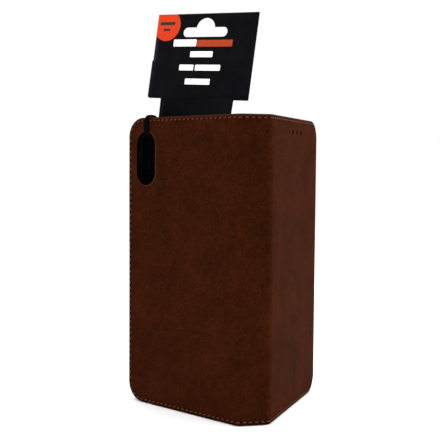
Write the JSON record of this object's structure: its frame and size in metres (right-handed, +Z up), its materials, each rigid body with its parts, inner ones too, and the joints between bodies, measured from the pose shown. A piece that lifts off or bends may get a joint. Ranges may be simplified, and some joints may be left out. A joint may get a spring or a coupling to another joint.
{
  "type": "phone wallet case",
  "caption": "Book style leather phone wallet case standing open, with a phone tray, card pockets, a magnetic closing tab and a hang card tied to its top edge.",
  "frame": {"origin": "middle of the object's footprint, on the surface that the case stands on", "axes": "+Z up along the folds, -Y out of the back cover's outer face, +X from the back cover's free edge towards the spine"},
  "size_m": [0.086, 0.0882, 0.2035],
  "materials": {
    "brown_leather": "matte",
    "rim_leather": "satin",
    "brown_lining": "matte",
    "grey_board": "matte",
    "tan_thread": "matte",
    "magnet_steel": "satin",
    "clear_tape": "matte",
    "black_tray": "matte",
    "black_elastic": "satin",
    "black_card": "satin",
    "orange_label": "satin",
    "white_ink": "satin",
    "orange_ink": "satin"
  },
  "bodies": {
    "back_cover": {"back_skin": "brown_leather", "back_board": "grey_board", "back_lining": "brown_lining", "back_stitching": "tan_thread", "back_magnet": "magnet_steel", "camera_rim": "rim_leather", "tray_tape": "clear_tape", "phone_tray": "black_tray", "tie_loop": "black_elastic"},
    "spine": {"spine_skin": "brown_leather", "spine_board": "grey_board", "spine_lining": "brown_lining", "spine_stitching": "tan_thread"},
    "front_cover": {"front_skin": "brown_leather", "front_board": "grey_board", "front_lining": "brown_lining", "front_stitching": "tan_thread", "cash_pocket": "brown_lining", "card_pocket_1": "brown_lining", "card_pocket_2": "brown_lining", "card_pocket_3": "brown_lining", "pocket_stitching": "tan_thread"},
    "tab_bridge": {"bridge_skin": "brown_leather", "bridge_lining": "brown_lining", "bridge_stitching": "tan_thread"},
    "tab_tip": {"tip_skin": "brown_leather", "tip_board": "grey_board", "tip_lining": "brown_lining", "tip_magnet": "magnet_steel", "tip_stitching": "tan_thread"},
    "hang_card": {"hang_card": "black_card", "size_sticker": "orange_label", "print_white": "white_ink", "print_orange": "orange_ink"}
  },
  "joints": [
    {"name": "back_fold", "type": "hinge", "parent": "back_cover", "child": "spine", "pos_m": [0.03305, -0.04143, 0], "axis": [0, 0, 1], "range_deg": [-143.6, 36.4]},
    {"name": "front_fold", "type": "hinge", "parent": "spine", "child": "front_cover", "pos_m": [0.04195, -0.02936, 0], "axis": [0, 0, 1], "range_deg": [-146.1, 33.9]},
    {"name": "tab_fold", "type": "hinge", "parent": "front_cover", "child": "tab_bridge", "pos_m": [0.01596, 0.04323, 0.0745], "axis": [0, 0, 1], "range_deg": [-120, 0]},
    {"name": "tip_fold", "type": "hinge", "parent": "tab_bridge", "child": "tab_tip", "pos_m": [-0.00033, 0.0374, 0.0745], "axis": [0, 0, 1], "range_deg": [-20, 70]},
    {"name": "card_lift", "type": "slide", "parent": "back_cover", "child": "hang_card", "axis": [0, 0, 1], "range_m": [0, 0.15], "deforming": ["tie_loop"]}
  ]
}
